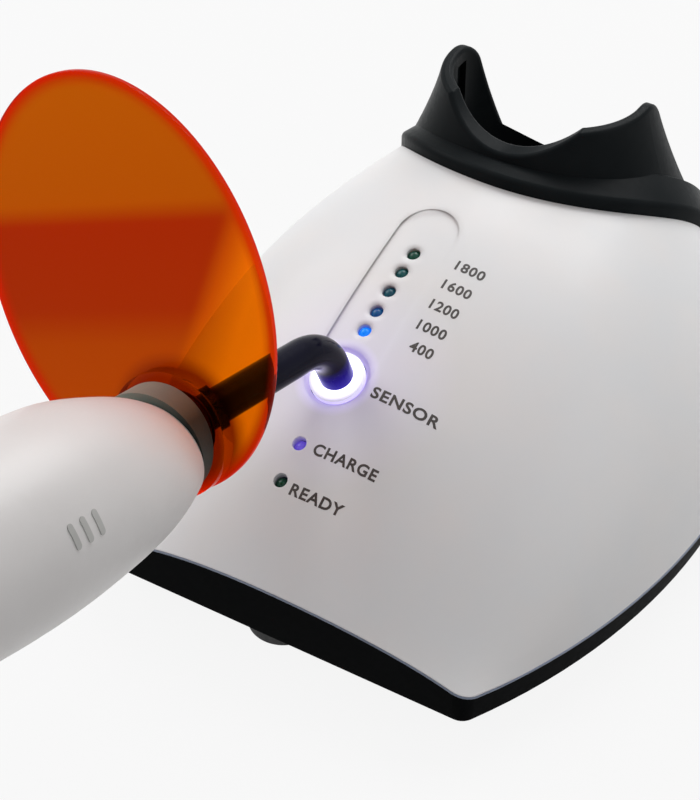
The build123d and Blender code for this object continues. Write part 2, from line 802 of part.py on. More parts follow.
# Collar ring in the mouth of the barrel, with the spigot that carries the shield
with BuildPart() as collar:
    add(turned(((0, collar_front), (collar_r - 1.0, collar_front), (collar_r, collar_front - 1.0),
                (collar_r, -ferrule_back), (0, -ferrule_back))))
    with BuildSketch(mouth.offset(seat_gap)):
        Circle(4 * collar_r)
    extrude(amount=-40.0, mode=Mode.SUBTRACT)
    add(turned(((0, spigot_end), (spigot_r - 0.3, spigot_end), (spigot_r + bead, spigot_end - 0.3),
                (spigot_r + bead, spigot_end - 0.6), (spigot_r, spigot_end - 0.8), (spigot_r, 0.0),
                (nose_bore_r, 0.0), (nose_bore_r, -ferrule_back), (0, -ferrule_back))))
    with BuildSketch(hand.offset(-ferrule_back - 1.0)):
        Circle(guide_bore_r)
    extrude(amount=40.0, mode=Mode.SUBTRACT)
collar.part.label = "collar"
export_step(collar.part, "parts/collar.step")

# Orange eye shield that turns on the spigot
plate_back = shield_at - shield_t / 2
with BuildPart() as shield:
    with BuildSketch(hand.offset(plate_back)):
        with Locations((0, shield_off)):
            Ellipse(shield_a, shield_b)
    extrude(amount=shield_t)
    fillet(shield.edges(), 0.5)
    with BuildSketch(hand.offset(collar_front + 0.4)):
        Circle(hub_r)
    extrude(amount=plate_back + 0.4 - collar_front)
    with BuildSketch(hand):
        Circle(spigot_r + running)
    extrude(amount=20.0, mode=Mode.SUBTRACT)
shield.part.label = "shield"
export_step(shield.part, "parts/shield.step")

# Bent light guide: glass rod, ferrule, seal ring and dark sheath
reach_y = sensor_spot.Y - hand_spot.Y
reach_z = sensor_spot.Z - hand_spot.Z
span = hand_ahead.Y * board_normal.Z - hand_ahead.Z * board_normal.Y
corner_at = (reach_y * board_normal.Z - reach_z * board_normal.Y) / span
corner_spot = hand_spot + hand_ahead * corner_at
tip_spot = sensor_spot + board_normal * tip_gap
rod_start = hand_spot - hand_ahead * ferrule_back
sheath_start = hand_spot + hand_ahead * ferrule_front
with BuildPart() as guide_rod:
    with BuildLine() as rod_path:
        FilletPolyline(rod_start, corner_spot, tip_spot, radius=guide_bend_r)
    with BuildSketch(Plane(origin=rod_start, x_dir=(1, 0, 0), z_dir=hand_ahead)):
        Circle(core_r)
    sweep()
guide_rod.part.label = "guide_rod"
export_step(guide_rod.part, "parts/guide_rod.step")

with BuildPart() as guide_sheath:
    with BuildLine() as sheath_path:
        FilletPolyline(sheath_start, corner_spot, tip_spot, radius=guide_bend_r)
    with BuildSketch(Plane(origin=sheath_start, x_dir=(1, 0, 0), z_dir=hand_ahead)):
        Circle(guide_r)
        Circle(core_r, mode=Mode.SUBTRACT)
    sweep()
guide_sheath.part.label = "guide_sheath"
export_step(guide_sheath.part, "parts/guide_sheath.step")

ferrule_r = guide_bore_r - running
groove_at = -8.0
groove_w = 1.2
groove_r = 3.9
with BuildPart() as guide_ferrule:
    add(turned(((core_r, -ferrule_back), (ferrule_r - 0.3, -ferrule_back), (ferrule_r, 0.3 - ferrule_back),
                (ferrule_r, groove_at - groove_w / 2), (groove_r, groove_at - groove_w / 2),
                (groove_r, groove_at + groove_w / 2), (ferrule_r, groove_at + groove_w / 2),
                (ferrule_r, ferrule_front - 0.3), (ferrule_r - 0.3, ferrule_front),
                (core_r, ferrule_front))))
guide_ferrule.part.label = "guide_ferrule"
export_step(guide_ferrule.part, "parts/guide_ferrule.step")

seal_r = (guide_bore_r - 0.01 - groove_r) / 2
with BuildPart() as guide_seal:
    with BuildSketch(hand_side):
        with Locations((groove_r + seal_r, groove_at)):
            Circle(seal_r)
    revolve(axis=hand_axis)
guide_seal.part.label = "guide_seal"
export_step(guide_seal.part, "parts/guide_seal.step")

# Light engine in the nose
with BuildPart() as emitter_board:
    add(turned(((0, -emitter_at), (bore_r - 0.6, -emitter_at), (bore_r - 0.6, -(emitter_at + emitter_t)),
                (0, -(emitter_at + emitter_t)))))
emitter_board.part.label = "emitter_board"
export_step(emitter_board.part, "parts/emitter_board.step")

with BuildPart() as emitter:
    with BuildSketch(hand.offset(-emitter_at)):
        Rectangle(4.2, 4.2)
    extrude(amount=0.8)
    with BuildSketch(hand.offset(-emitter_at)):
        Circle(1.7)
    extrude(amount=2.0)
    fillet(emitter.edges().filter_by(GeomType.CIRCLE).sort_by(hand_axis)[-1], 0.7)
emitter.part.label = "emitter"
export_step(emitter.part, "parts/emitter.step")

with BuildPart() as reflector:
    add(turned(((3.6, -emitter_at), (9.0, -emitter_at), (nose_bore_r - 0.3, -(ferrule_back + 1.2)),
                (nose_bore_r - 0.3, -ferrule_back), (5.6, -ferrule_back))))
reflector.part.label = "reflector"
export_step(reflector.part, "parts/reflector.step")

sink_front = emitter_at + emitter_t
sink_back = sink_front + sink_l
fin_pitch = 5.0
fin_depth = 2.4
with BuildPart() as heat_sink:
    add(turned(((0, -sink_front), (bore_r, -sink_front), (bore_r, -sink_back), (0, -sink_back))))
    for fin in range(1, 5):
        add(turned(((bore_r - fin_depth, -(sink_front + fin * fin_pitch)),
                    (bore_r + 1.0, -(sink_front + fin * fin_pitch)),
                    (bore_r + 1.0, -(sink_front + (fin + 0.5) * fin_pitch)),
                    (bore_r - fin_depth, -(sink_front + (fin + 0.5) * fin_pitch)))), mode=Mode.SUBTRACT)
heat_sink.part.label = "heat_sink"
export_step(heat_sink.part, "parts/heat_sink.step")

# Main board with the two switches, the status lamp and the buttons
board_top_y = main_board_y + main_board_t
main_half = math.sqrt(bore_r**2 - board_top_y**2)
board_l = sleeve_front - sink_back
main_plane = Plane(origin=hand_spot - hand_ahead * (sink_back + board_l / 2) + hand_top * main_board_y,
                   x_dir=hand.x_dir, z_dir=hand_top)
with BuildPart() as main_board:
    with BuildSketch(main_plane):
        Rectangle(2 * main_half, board_l)
    extrude(amount=main_board_t)
main_board.part.label = "main_board"
export_step(main_board.part, "parts/main_board.step")

for name, behind, button_r in (("power", power_at, power_r), ("mode", mode_at, mode_r)):
    at = hand_spot - hand_ahead * behind
    switch_plane = Plane(origin=at + hand_top * board_top_y, x_dir=hand.x_dir, z_dir=hand_top)
    flange_y = button_ceiling - button_gap - button_flange_t
    with BuildPart() as switch:
        with BuildSketch(switch_plane):
            Rectangle(6.0, 6.0)
        extrude(amount=flange_y - board_top_y - button_travel - 1.0)
        with BuildSketch(switch_plane):
            Circle(1.6)
        extrude(amount=flange_y - board_top_y - button_travel - 0.15)
    switch.part.label = f"{name}_switch"
    export_step(switch.part, f"parts/{name}_switch.step")
    flange_plane = Plane(origin=at + hand_top * flange_y, x_dir=hand.x_dir, z_dir=hand_top)
    cap_top = barrel_radius(behind) + button_proud
    with BuildPart() as button:
        with BuildSketch(flange_plane):
            Circle(button_r + button_flange)
        extrude(amount=button_flange_t)
        with BuildSketch(flange_plane):
            Circle(button_r)
        extrude(amount=cap_top - flange_y)
        fillet(button.faces().sort_by(Axis(at, hand_top))[-1].edges(), 0.5)
    button.part.label = f"{name}_button"
    export_step(button.part, f"parts/{name}_button.step")

with BuildPart() as status_lamp:
    with BuildSketch(lamp_hole.offset(board_top_y)):
        Circle(lamp_r)
    extrude(amount=barrel_radius(lamp_at) - board_top_y + 0.2)
    fillet(status_lamp.faces().sort_by(Axis(hand_spot, hand_top))[-1].edges(), 0.3)
status_lamp.part.label = "status_lamp"
export_step(status_lamp.part, "parts/status_lamp.step")

# Battery in its sleeve, and the tail cap with the two charging contacts
sleeve_back = sleeve_front + battery_l
with BuildPart() as battery_sleeve:
    add(turned(((battery_r, -sleeve_front), (bore_r, -sleeve_front), (bore_r, -sleeve_back),
                (battery_r, -sleeve_back))))
battery_sleeve.part.label = "battery_sleeve"
export_step(battery_sleeve.part, "parts/battery_sleeve.step")

with BuildPart() as battery:
    add(turned(((0, -sleeve_front), (battery_r - 0.4, -sleeve_front), (battery_r, -(sleeve_front + 0.4)),
                (battery_r, 0.4 - sleeve_back), (battery_r - 0.4, -sleeve_back), (0, -sleeve_back))))
battery.part.label = "battery"
export_step(battery.part, "parts/battery.step")

tail_r = barrel_sections[-1][1]
with BuildPart() as tail_cap:
    with BuildSketch(hand_side):
        with BuildLine():
            Polyline((tail_r - 4.5, -tail_end), (0, -tail_end), (0, -sleeve_back), (bore_r, -sleeve_back),
                     (bore_r, -barrel_end - panel_gap), (tail_r, -barrel_end - panel_gap),
                     (tail_r - 0.2, -(barrel_end + 8.0)))
            Spline((tail_r - 0.2, -(barrel_end + 8.0)), (tail_r - 1.6, -(tail_end - 3.6)),
                   (tail_r - 4.5, -tail_end), tangents=((-0.05, -1), (-1, -0.12)))
        make_face()
    revolve(axis=hand_axis)
    with BuildSketch(hand.offset(-tail_end)):
        with Locations((-contact_x, 0), (contact_x, 0)):
            Circle(contact_r)
    extrude(amount=contact_t, mode=Mode.SUBTRACT)
tail_cap.part.label = "tail_cap"
export_step(tail_cap.part, "parts/tail_cap.step")

for name, side in (("tail_contact_left", -1), ("tail_contact_right", 1)):
    with BuildPart() as tail_contact:
        with BuildSketch(hand.offset(-(tail_end + 0.2))):
            with Locations((side * contact_x, 0)):
                Circle(contact_r)
        extrude(amount=contact_t + 0.2)
        fillet(tail_contact.faces().sort_by(hand_axis)[0].edges(), 0.15)
    tail_contact.part.label = name
    export_step(tail_contact.part, f"parts/{name}.step")
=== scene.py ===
import bpy
import math
from mathutils import Matrix, Vector
from mathutils.bvhtree import BVHTree


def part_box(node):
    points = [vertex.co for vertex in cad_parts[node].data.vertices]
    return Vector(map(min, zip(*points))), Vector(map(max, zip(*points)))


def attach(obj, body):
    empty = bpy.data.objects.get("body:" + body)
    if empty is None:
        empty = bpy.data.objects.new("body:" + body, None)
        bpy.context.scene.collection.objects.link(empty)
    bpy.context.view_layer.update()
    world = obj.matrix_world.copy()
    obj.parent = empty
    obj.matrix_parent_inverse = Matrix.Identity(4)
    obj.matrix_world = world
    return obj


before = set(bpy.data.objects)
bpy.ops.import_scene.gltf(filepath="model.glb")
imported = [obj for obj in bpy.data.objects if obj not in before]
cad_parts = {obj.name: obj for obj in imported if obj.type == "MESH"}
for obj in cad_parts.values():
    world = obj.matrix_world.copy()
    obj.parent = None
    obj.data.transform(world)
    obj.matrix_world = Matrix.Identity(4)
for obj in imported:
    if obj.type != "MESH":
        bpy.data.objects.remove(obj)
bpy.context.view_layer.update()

# Lengths in this script are metres; MM turns millimetres into metres
MM = 0.001

# Camera that took the photograph: a 36 mm wide picture 700 pixels across
PICTURE_W = 700.0
FOCAL_PIXELS = 2200.0
SENSOR_W = 36.0
CAMERA_AT = Vector((177.56, -271.62, 338.97)) * MM
CAMERA_AZIMUTH = 30.757
CAMERA_ELEVATION = 40.554
CAMERA_ROLL = 0.415

# Handpiece frame: the collar centre, the fall of the axis and its roll
HAND_AT = Vector((-4.2, -31.9, 73.9)) * MM
HAND_FALL = math.radians(16.2)
HAND_ROLL = math.radians(32.0)
HAND_AHEAD = Vector((0, math.cos(HAND_FALL), -math.sin(HAND_FALL)))
HAND_UP = Vector((0, math.sin(HAND_FALL), math.cos(HAND_FALL)))
HAND_TOP = HAND_UP * math.cos(HAND_ROLL) - Vector((1, 0, 0)) * math.sin(HAND_ROLL)
HAND_SIDE = HAND_TOP.cross(HAND_AHEAD)

# Eye shield: where its plate lies and its half axes
SHIELD_AT = HAND_AT + HAND_AHEAD * (4.85 * MM) + HAND_TOP * (28.0 * MM)
SHIELD_A = 29.8 * MM
SHIELD_B = 40.1 * MM

# Directions on the leaning plate of the shield that read as upright and level in the picture
azimuth, elevation, roll = (math.radians(v) for v in (CAMERA_AZIMUTH, CAMERA_ELEVATION, CAMERA_ROLL))
back = Vector((math.sin(azimuth) * math.cos(elevation), -math.cos(azimuth) * math.cos(elevation),
               math.sin(elevation)))
level_right = Vector((math.cos(azimuth), math.sin(azimuth), 0))
level_up = back.cross(level_right)
# BAND_UP and BAND_SIDE lay out the painted shade band and the painted paler side on the eye shield
BAND_UP = (level_up - HAND_AHEAD * level_up.dot(HAND_AHEAD)).normalized()
BAND_SIDE = HAND_AHEAD.cross(BAND_UP)
# Direction in which the painted shade on the collar deepens
COLLAR_SHADE = (BAND_SIDE - BAND_UP * 0.6).normalized()

window_low, window_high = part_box("sensor_window")
SENSOR_AT = (window_low + window_high) / 2


# Materials

def new_material(name):
    """An empty material: its nodes, links and shader."""
    made = bpy.data.materials.new(name)
    made.use_nodes = True
    tree = made.node_tree
    return made, tree.nodes, tree.links, tree.nodes["Principled BSDF"]


def object_noise(nodes, links, scale, detail=3.0, roughness=0.55):
    """Noise in the object's own coordinates, with scale in cycles per metre."""
    where = nodes.new("ShaderNodeTexCoord")
    noise = nodes.new("ShaderNodeTexNoise")
    noise.inputs["Scale"].default_value = scale
    noise.inputs["Detail"].default_value = detail
    noise.inputs["Roughness"].default_value = roughness
    links.new(where.outputs["Object"], noise.inputs["Vector"])
    return noise.outputs["Fac"]


def spread(nodes, links, value, low, high, to_low, to_high):
    """Maps a value from one range to another."""
    node = nodes.new("ShaderNodeMapRange")
    node.inputs["From Min"].default_value = low
    node.inputs["From Max"].default_value = high
    node.inputs["To Min"].default_value = to_low
    node.inputs["To Max"].default_value = to_high
    links.new(value, node.inputs["Value"])
    return node.outputs["Result"]


def blend_colours(nodes, links, factor, first, second):
    """Mixes two colours, or a colour and a socket, by a factor."""
    node = nodes.new("ShaderNodeMix")
    node.data_type = "RGBA"
    links.new(factor, node.inputs["Factor"])
    for socket, value in ((node.inputs["A"], first), (node.inputs["B"], second)):
        if isinstance(value, tuple):
            socket.default_value = (*value, 1.0)
        else:
            links.new(value, socket)
    return node.outputs["Result"]


def bump(nodes, links, shader, height, strength, distance):
    """Fine relief on the shader from a height."""
    node = nodes.new("ShaderNodeBump")
    node.inputs["Strength"].default_value = strength
    node.inputs["Distance"].default_value = distance
    links.new(height, node.inputs["Height"])
    links.new(node.outputs["Normal"], shader.inputs["Normal"])


COAT_ROUGH = 0.12
GRAIN_STRENGTH = 0.25


def finish_of(name, light, dark, rough, rough_spread, grain, relief, coat=0.0, metal=0.0, mottling=60.0,
              sheen=0.5):
    """A moulded, turned or cast surface: slow tone changes, uneven gloss and a fine grain.

    mottling and grain are in cycles per metre, and relief is the depth of the grain.
    """
    made, nodes, links, shader = new_material(name)
    slow = object_noise(nodes, links, mottling, 2.0)
    colour = blend_colours(nodes, links, spread(nodes, links, slow, 0.35, 0.65, 0.0, 1.0), light, dark)
    links.new(colour, shader.inputs["Base Color"])
    uneven = object_noise(nodes, links, grain / 6, 4.0)
    links.new(spread(nodes, links, uneven, 0.3, 0.7, rough - rough_spread, rough + rough_spread),
              shader.inputs["Roughness"])
    shader.inputs["Coat Weight"].default_value = coat
    shader.inputs["Coat Roughness"].default_value = COAT_ROUGH
    shader.inputs["Metallic"].default_value = metal
    shader.inputs["Specular IOR Level"].default_value = sheen
    bump(nodes, links, shader, object_noise(nodes, links, grain, 2.0), GRAIN_STRENGTH, relief)
    return made, nodes, links, shader


def distance_from(nodes, links, point):
    """Distance of a surface point from a fixed point of the object."""
    where = nodes.new("ShaderNodeTexCoord")
    node = nodes.new("ShaderNodeVectorMath")
    node.operation = "DISTANCE"
    node.inputs[1].default_value = point
    links.new(where.outputs["Object"], node.inputs[0])
    return node.outputs["Value"]


def along(nodes, links, point, direction):
    """How far a surface point lies from a fixed point, along a direction."""
    where = nodes.new("ShaderNodeTexCoord")
    away = nodes.new("ShaderNodeVectorMath")
    away.operation = "SUBTRACT"
    away.inputs[1].default_value = point
    links.new(where.outputs["Object"], away.inputs[0])
    node = nodes.new("ShaderNodeVectorMath")
    node.operation = "DOT_PRODUCT"
    node.inputs[1].default_value = direction
    links.new(away.outputs["Vector"], node.inputs[0])
    return node.outputs["Value"]


def maths(nodes, links, operation, first, second=None):
    """One sum on sockets or numbers."""
    node = nodes.new("ShaderNodeMath")
    node.operation = operation
    for socket, value in zip(node.inputs, (first, second)):
        if value is None:
            continue
        if isinstance(value, (int, float)):
            socket.default_value = value
        else:
            links.new(value, socket)
    return node.outputs["Value"]


# White moulding of the top of the base, with the violet light of the guide around the meter and
# softened edges around the lamps
GLOW_COLOUR = (0.42, 0.30, 1.0)
HALO_FROM, HALO_TO, HALO_STRENGTH = 6.3 * MM, 9.5 * MM, 0.30
SPILL_FROM, SPILL_TO, SPILL_STRENGTH = 6.0 * MM, 26.0 * MM, 0.12
GROOVE_AT = SENSOR_AT + Vector((-1.0, 22.0, 0.0)) * MM
GROOVE_REACH, GROOVE_FADE = 30.0 * MM, 36.0 * MM
GROOVE_EDGE, PLAIN_EDGE = 2.4 * MM, 0.2 * MM
EDGE_SAMPLES = 6
white_top, nodes, links, shader = finish_of(
    "white_top", (0.70, 0.70, 0.705), (0.72, 0.705, 0.70), 0.38, 0.04, 9000.0, 0.02 * MM, coat=0.1,
    sheen=0.4)
rounded = nodes.new("ShaderNodeBevel")
rounded.samples = EDGE_SAMPLES
from_groove = distance_from(nodes, links, GROOVE_AT)
links.new(spread(nodes, links, from_groove, GROOVE_REACH, GROOVE_FADE, GROOVE_EDGE, PLAIN_EDGE),
          rounded.inputs["Radius"])
links.new(rounded.outputs["Normal"], shader.inputs["Normal"].links[0].from_node.inputs["Normal"])
reach = distance_from(nodes, links, SENSOR_AT)
halo = spread(nodes, links, reach, HALO_FROM, HALO_TO, HALO_STRENGTH, 0.0)
spill = spread(nodes, links, reach, SPILL_FROM, SPILL_TO, SPILL_STRENGTH, 0.0)
links.new(maths(nodes, links, "ADD", halo, spill), shader.inputs["Emission Strength"])
shader.inputs["Emission Color"].default_value = (*GLOW_COLOUR, 1.0)

white_barrel = finish_of(
    "white_barrel", (0.62, 0.60, 0.59), (0.605, 0.585, 0.575), 0.42, 0.05, 8000.0, 0.02 * MM, coat=0.03,
    sheen=0.3)[0]
# black_shell and housing_black are one black plastic: the housing's copy is glossier, and its lighter colour
# is a painted highlight for the light on the housing's upper faces, while the tray's copy is set darker
black_shell = finish_of(
    "black_shell", (0.0008, 0.0010, 0.0012), (0.0015, 0.0018, 0.002), 0.42, 0.06, 5200.0, 0.03 * MM,
    sheen=0.004)[0]
housing_black = finish_of(
    "housing_black", (0.008, 0.010, 0.011), (0.012, 0.014, 0.015), 0.34, 0.06, 5200.0, 0.03 * MM,
    sheen=0.02)[0]
black_inner = finish_of(
    "black_inner", (0.025, 0.025, 0.026), (0.018, 0.018, 0.018), 0.5, 0.08, 4000.0, 0.03 * MM)[0]
grey_trim = finish_of(
    "grey_trim", (0.42, 0.415, 0.40), (0.38, 0.375, 0.36), 0.5, 0.06, 6000.0, 0.02 * MM)[0]
tail_grey = finish_of(
    "tail_grey", (0.40, 0.40, 0.40), (0.34, 0.34, 0.34), 0.45, 0.06, 6000.0, 0.02 * MM)[0]

# Gray collar, with painted shade darkening it toward its lower right side
COLLAR_LIGHT, COLLAR_DARK = -8.0 * MM, 6.0 * MM
collar_grey, nodes, links, shader = finish_of(
    "collar_grey", (0.36, 0.42, 0.36), (0.31, 0.37, 0.32), 0.5, 0.06, 6000.0, 0.02 * MM, sheen=0.25)
collar_painted_shade = spread(nodes, links, along(nodes, links, HAND_AT, COLLAR_SHADE), COLLAR_LIGHT, COLLAR_DARK, 0.0, 1.0)
links.new(blend_colours(nodes, links, collar_painted_shade, shader.inputs["Base Color"].links[0].from_socket,
                        (0.020, 0.021, 0.016)), shader.inputs["Base Color"])

button_grey = finish_of(
    "button_grey", (0.26, 0.27, 0.28), (0.22, 0.23, 0.24), 0.62, 0.06, 5000.0, 0.04 * MM)[0]
foot_rubber = finish_of(
    "foot_rubber", (0.016, 0.016, 0.016), (0.022, 0.022, 0.022), 0.72, 0.08, 3500.0, 0.06 * MM)[0]
steel = finish_of(
    "steel", (0.55, 0.55, 0.55), (0.48, 0.48, 0.49), 0.3, 0.08, 7000.0, 0.02 * MM, metal=1.0)[0]
brass = finish_of(
    "brass", (0.86, 0.62, 0.26), (0.80, 0.56, 0.22), 0.24, 0.06, 6000.0, 0.01 * MM, metal=1.0)[0]
bright_metal = finish_of(
    "bright_metal", (0.86, 0.86, 0.86), (0.82, 0.82, 0.83), 0.08, 0.03, 7000.0, 0.005 * MM, metal=1.0)[0]
sink_metal = finish_of(
    "sink_metal", (0.72, 0.72, 0.73), (0.64, 0.64, 0.65), 0.32, 0.07, 9000.0, 0.02 * MM, metal=1.0)[0]
board_green = finish_of(
    "board_green", (0.015, 0.13, 0.05), (0.02, 0.16, 0.06), 0.35, 0.08, 2500.0, 0.03 * MM, mottling=900.0)[0]
cell_wrap = finish_of(
    "cell_wrap", (0.05, 0.12, 0.38), (0.04, 0.10, 0.33), 0.25, 0.05, 3000.0, 0.02 * MM, coat=0.3)[0]
emitter_yellow = finish_of(
    "emitter_yellow", (0.85, 0.72, 0.12), (0.80, 0.66, 0.10), 0.2, 0.05, 3000.0, 0.01 * MM, coat=0.4)[0]
ink = finish_of(
    "ink", (0.028, 0.022, 0.020), (0.045, 0.036, 0.032), 0.45, 0.08, 5000.0, 0.01 * MM)[0]

# Dark sheath of the light guide: glossy, with violet light creeping up from the tip
TIP_FROM, TIP_TO, TIP_STRENGTH = 3.5 * MM, 9.5 * MM, 0.34
guide_black, nodes, links, shader = finish_of(
    "guide_black", (0.002, 0.002, 0.008), (0.004, 0.004, 0.014), 0.16, 0.04, 3000.0, 0.01 * MM, coat=0.015,
    sheen=0.035)
reach = distance_from(nodes, links, SENSOR_AT)
links.new(spread(nodes, links, reach, TIP_FROM, TIP_TO, TIP_STRENGTH, 0.0),
          shader.inputs["Emission Strength"])
shader.inputs["Emission Color"].default_value = (0.05, 0.012, 1.0, 1.0)

# Glass rod in the guide
ROD_STRENGTH = 2.5
guide_glass, nodes, links, shader = finish_of(
    "guide_glass", (0.85, 0.88, 1.0), (0.80, 0.84, 1.0), 0.05, 0.02, 2000.0, 0.005 * MM)
shader.inputs["Transmission Weight"].default_value = 1.0
shader.inputs["Emission Color"].default_value = (0.45, 0.35, 1.0, 1.0)
shader.inputs["Emission Strength"].default_value = ROD_STRENGTH

# Milky window of the light meter, lit by the guide
SPOT_FROM, SPOT_TO = 4.2 * MM, 5.8 * MM
SPOT_STRENGTH, SPOT_EDGE_STRENGTH = 2.0, 0.3
window_milky, nodes, links, shader = finish_of(
    "window_milky", (0.9, 0.9, 1.0), (0.85, 0.86, 1.0), 0.3, 0.05, 3000.0, 0.01 * MM)
shader.inputs["Emission Color"].default_value = (0.80, 0.76, 1.0, 1.0)
reach = distance_from(nodes, links, SENSOR_AT)
links.new(spread(nodes, links, reach, SPOT_FROM, SPOT_TO, SPOT_STRENGTH, SPOT_EDGE_STRENGTH),
          shader.inputs["Emission Strength"])


def lamp_lens(name, dark, bright, glow, strength):
    """Tinted lamp: its tone wanders between a darker and a brighter tint, and lit or unlit."""
    made, nodes, links, shader = finish_of(name, dark, bright, 0.16, 0.04, 3000.0, 0.005 * MM, coat=0.1,
                                           mottling=1500.0, sheen=0.25)
    shader.inputs["Emission Color"].default_value = (*glow, 1.0)
    shader.inputs["Emission Strength"].default_value = strength
    return made


# Lenses of the scale lamps: the 400 lamp is lit; the others are dark green lenses whose blue tint, strongest
# beside the lit 400 lamp, is a painted reflection of its light, and whose small glow is painted glow
scale_lenses = (
    lamp_lens("lamp_400", (0.0, 0.14, 0.60), (0.0, 0.22, 0.80), (0.0, 0.20, 0.9), 0.6),
    lamp_lens("lamp_1000", (0.0, 0.035, 0.16), (0.0, 0.09, 0.20), (0.0, 0.08, 0.30), 0.25),
    lamp_lens("lamp_1200", (0.0, 0.035, 0.06), (0.0, 0.07, 0.09), (0.0, 0.08, 0.13), 0.2),
    lamp_lens("lamp_1600", (0.0, 0.035, 0.045), (0.0, 0.07, 0.07), (0.0, 0.08, 0.08), 0.2),
    lamp_lens("lamp_1800", (0.0, 0.025, 0.018), (0.0, 0.06, 0.04), (0.0, 0.07, 0.03), 0.2),
)
charge_lens = lamp_lens("lamp_charge", (0.09, 0.06, 0.42), (0.16, 0.12, 0.62), (0.13, 0.08, 0.65), 0.45)
# The ready lamp is unlit; its faint glow is painted glow
ready_lens = lamp_lens("lamp_ready", (0.0, 0.04, 0.02), (0.0, 0.07, 0.035), (0.0, 0.03, 0.01), 0.05)

# Clear orange sheet of the eye shield, with painted light and shade: a painted darker band across it, a
# painted paler lower right side where the white top lies behind, a painted dark ring around its hub and a
# deep red rim with a painted glow for the light gathered at the sheet's edge
SHIELD_IOR = 1.1
SHIELD_ROUGH = 0.02
SHADE_BAND_STOPS = ((0.0, (0.46, 0.060, 0.0)), (0.36, (0.42, 0.050, 0.0)), (0.44, (0.37, 0.024, 0.0)),
              (0.645, (0.38, 0.020, 0.0)), (0.69, (0.47, 0.080, 0.0)), (1.0, (0.50, 0.095, 0.0)))
PALE_FROM, PALE_TO = 14.0 * MM, 24.0 * MM
HUB_FROM, HUB_TO = 11.5 * MM, 15.0 * MM
HUB_AT = HAND_AT + HAND_AHEAD * (4.0 * MM)
shield_orange, nodes, links, shader = new_material("shield_orange")
shader.inputs["Transmission Weight"].default_value = 1.0
shader.inputs["IOR"].default_value = SHIELD_IOR
shader.inputs["Roughness"].default_value = SHIELD_ROUGH
up_plate = along(nodes, links, SHIELD_AT, HAND_TOP)
across_plate = along(nodes, links, SHIELD_AT, HAND_SIDE)
rim = maths(nodes, links, "SQRT", maths(
    nodes, links, "ADD",
    maths(nodes, links, "POWER", maths(nodes, links, "DIVIDE", across_plate, SHIELD_A), 2.0),
    maths(nodes, links, "POWER", maths(nodes, links, "DIVIDE", up_plate, SHIELD_B), 2.0)))
# Painted shade: a darker band across the sheet, laid out along BAND_UP
band_at = along(nodes, links, SHIELD_AT, BAND_UP)
tone = nodes.new("ShaderNodeValToRGB")
stops = tone.color_ramp.elements
stops[0].position, stops[1].position = SHADE_BAND_STOPS[0][0], SHADE_BAND_STOPS[-1][0]
stops[0].color, stops[1].color = (*SHADE_BAND_STOPS[0][1], 1.0), (*SHADE_BAND_STOPS[-1][1], 1.0)
for place, colour in SHADE_BAND_STOPS[1:-1]:
    stops.new(place).color = (*colour, 1.0)
links.new(spread(nodes, links, band_at, -SHIELD_B, SHIELD_B, 0.0, 1.0), tone.inputs["Fac"])
# Painted light: the lower right side turns paler, where the white top lies behind the sheet
low_right = along(nodes, links, SHIELD_AT, (BAND_SIDE - BAND_UP * 0.6).normalized())
painted_pale = spread(nodes, links, low_right, PALE_FROM, PALE_TO, 0.0, 1.0)
body_colour = blend_colours(nodes, links, painted_pale, tone.outputs["Color"], (0.95, 0.19, 0.0))
# Painted shade: a dark ring around the hub
hub_painted_shade = spread(nodes, links, distance_from(nodes, links, HUB_AT), HUB_FROM, HUB_TO, 1.0, 0.0)
body_colour = blend_colours(nodes, links, hub_painted_shade, body_colour, (0.22, 0.012, 0.0))
# Painted glow: a deep red rim that also glows faintly
rim_painted_glow = spread(nodes, links, rim, 0.925, 0.985, 0.0, 1.0)
links.new(blend_colours(nodes, links, rim_painted_glow, body_colour, (0.50, 0.012, 0.0)), shader.inputs["Base Color"])
shader.inputs["Emission Color"].default_value = (0.75, 0.02, 0.0, 1.0)
links.new(spread(nodes, links, rim, 0.96, 0.995, 0.0, 0.12), shader.inputs["Emission Strength"])
bump(nodes, links, shader, object_noise(nodes, links, 400.0, 2.0), 0.05, 0.02 * MM)

NODE_LOOKS = {
    "base_bottom_shell": black_shell, "rear_housing": housing_black, "supply_socket": black_inner,
    "contact_block": black_inner, "base_top_shell": white_top, "barrel": white_barrel,
    "tail_cap": tail_grey, "collar": collar_grey, "shield": shield_orange, "guide_rod": guide_glass,
    "guide_sheath": guide_black, "guide_seal": foot_rubber, "guide_ferrule": steel,
    "lamp_board": board_green, "emitter_board": board_green, "main_board": board_green,
    "light_sensor": black_inner, "power_switch": black_inner, "mode_switch": black_inner,
    "sensor_holder": black_inner, "battery_sleeve": black_inner, "sensor_window": window_milky,
    "charge_led": charge_lens, "ready_led": ready_lens, "status_lamp": ready_lens,
    "ballast_plate": steel, "supply_pin": brass, "contact_pin_left": brass, "contact_pin_right": brass,
    "tail_contact_left": brass, "tail_contact_right": brass, "emitter": emitter_yellow,
    "reflector": bright_metal, "heat_sink": sink_metal, "battery": cell_wrap,
    "power_button": button_grey, "mode_button": button_grey,
}
for number, lens in enumerate(scale_lenses, start=1):
    NODE_LOOKS[f"scale_led_{number}"] = lens
for number in range(1, 4):
    NODE_LOOKS[f"mark_bar_{number}"] = grey_trim
for number in range(1, 5):
    NODE_LOOKS[f"base_screw_{number}"] = steel
for place in ("front", "left", "right", "rear_left", "rear_right"):
    NODE_LOOKS[f"foot_{place}"] = foot_rubber

for name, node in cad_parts.items():
    node.data.materials.clear()
    node.data.materials.append(NODE_LOOKS[name])


# Lettering printed on the top of the base

